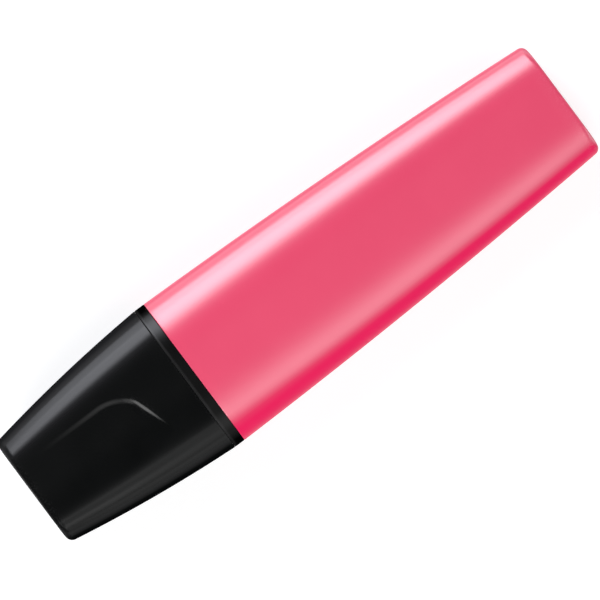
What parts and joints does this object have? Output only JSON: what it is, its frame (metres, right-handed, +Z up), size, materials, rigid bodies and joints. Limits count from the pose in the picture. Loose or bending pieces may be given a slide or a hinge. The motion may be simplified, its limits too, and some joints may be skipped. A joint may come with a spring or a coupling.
{
  "type": "highlighter pen",
  "caption": "Flat highlighter with a tapered pink barrel, a black funnel-shaped front section holding a chisel nib, and a black pull-off cap with a thumb recess.",
  "frame": {"origin": "on the surface below the middle of the pen, which lies on the barrel's lower broad face", "axes": "+X along the pen towards the barrel's rear end, with the cap at -X; +Y across the broad face; +Z up, through the thickness"},
  "size_m": [0.1052, 0.0268, 0.017],
  "materials": {
    "barrel_plastic": "satin gloss moulded pink",
    "section_plastic": "satin moulded black",
    "holder_plastic": "polished black",
    "nib_fibre": "ink-soaked bonded fibre",
    "core_fibre": "ink-soaked fibre",
    "film": "thin clear film",
    "cap_plastic": "satin gloss moulded black",
    "seal_plastic": "soft natural polyethylene"
  },
  "bodies": {
    "pen": {"barrel": "barrel_plastic", "front_section": "section_plastic", "nib_holder": "holder_plastic", "nib": "nib_fibre", "ink_reservoir": "core_fibre", "reservoir_film": "film"},
    "cap": {"cap": "cap_plastic", "inner_cap": "seal_plastic"}
  },
  "joints": [
    {"name": "cap_pull", "type": "slide", "parent": "pen", "child": "cap", "axis": [-0.9999, 0, 0.0151], "range_m": [0, 0.045]}
  ]
}
